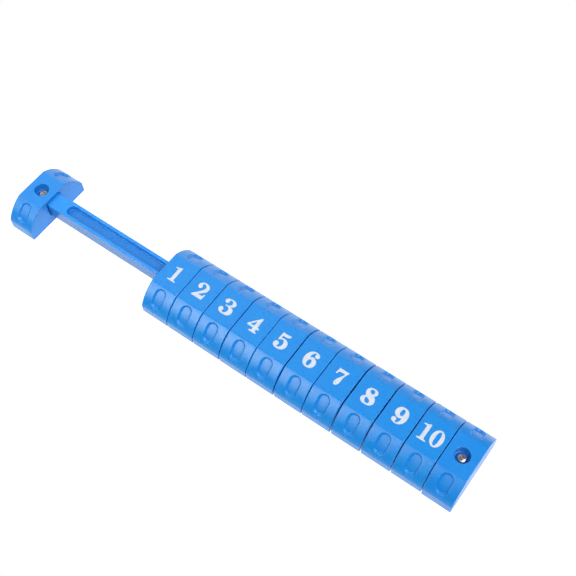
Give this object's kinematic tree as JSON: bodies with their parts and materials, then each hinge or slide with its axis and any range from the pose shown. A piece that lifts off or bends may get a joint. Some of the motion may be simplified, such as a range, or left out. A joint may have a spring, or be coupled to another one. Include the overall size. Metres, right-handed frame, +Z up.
{
  "type": "sliding score counter",
  "caption": "Flat bar-shaped score counter: numbered plastic tiles slide along a square grooved rod held by a recessed screw in each of its two end brackets.",
  "frame": {"origin": "on the resting surface, under the middle of the unit's length and width", "axes": "+X along the rod from the start bracket (beside the free rod) to the end bracket, +Y across the unit towards the tops of the numerals, +Z up out of the surface it is fixed to"},
  "size_m": [0.235, 0.0344, 0.0148],
  "materials": {
    "rod_blue": "glossy injection-moulded blue plastic",
    "bracket_blue": "glossy injection-moulded blue plastic",
    "tile_blue": "glossy injection-moulded blue plastic",
    "screw_steel": "zinc-plated steel",
    "numeral_white": "satin white stamped numerals"
  },
  "bodies": {
    "root": {"rod": "rod_blue", "bracket_start": "bracket_blue", "bracket_end": "bracket_blue", "screw_start": "screw_steel", "screw_end": "screw_steel"},
    "slider_1": {"tile_1": "tile_blue", "numeral_1": "numeral_white"},
    "slider_2": {"tile_2": "tile_blue", "numeral_2": "numeral_white"},
    "slider_3": {"tile_3": "tile_blue", "numeral_3": "numeral_white"},
    "slider_4": {"tile_4": "tile_blue", "numeral_4": "numeral_white"},
    "slider_5": {"tile_5": "tile_blue", "numeral_5": "numeral_white"},
    "slider_6": {"tile_6": "tile_blue", "numeral_6": "numeral_white"},
    "slider_7": {"tile_7": "tile_blue", "numeral_7": "numeral_white"},
    "slider_8": {"tile_8": "tile_blue", "numeral_8": "numeral_white"},
    "slider_9": {"tile_9": "tile_blue", "numeral_9": "numeral_white"},
    "slider_10": {"tile_10": "tile_blue", "numeral_10_one": "numeral_white", "numeral_10_zero": "numeral_white"}
  },
  "joints": [
    {"name": "tile_10_slide", "type": "slide", "parent": "root", "child": "slider_10", "axis": [-1, 0, 0], "range_m": [0, 0.0065]},
    {"name": "tile_9_slide", "type": "slide", "parent": "slider_10", "child": "slider_9", "axis": [-1, 0, 0], "range_m": [0, 0.0065]},
    {"name": "tile_8_slide", "type": "slide", "parent": "slider_9", "child": "slider_8", "axis": [-1, 0, 0], "range_m": [0, 0.0065]},
    {"name": "tile_7_slide", "type": "slide", "parent": "slider_8", "child": "slider_7", "axis": [-1, 0, 0], "range_m": [0, 0.0065]},
    {"name": "tile_6_slide", "type": "slide", "parent": "slider_7", "child": "slider_6", "axis": [-1, 0, 0], "range_m": [0, 0.0065]},
    {"name": "tile_5_slide", "type": "slide", "parent": "slider_6", "child": "slider_5", "axis": [-1, 0, 0], "range_m": [0, 0.0065]},
    {"name": "tile_4_slide", "type": "slide", "parent": "slider_5", "child": "slider_4", "axis": [-1, 0, 0], "range_m": [0, 0.0065]},
    {"name": "tile_3_slide", "type": "slide", "parent": "slider_4", "child": "slider_3", "axis": [-1, 0, 0], "range_m": [0, 0.0065]},
    {"name": "tile_2_slide", "type": "slide", "parent": "slider_3", "child": "slider_2", "axis": [-1, 0, 0], "range_m": [0, 0.0065]},
    {"name": "tile_1_slide", "type": "slide", "parent": "slider_2", "child": "slider_1", "axis": [-1, 0, 0], "range_m": [0, 0.0065]}
  ]
}
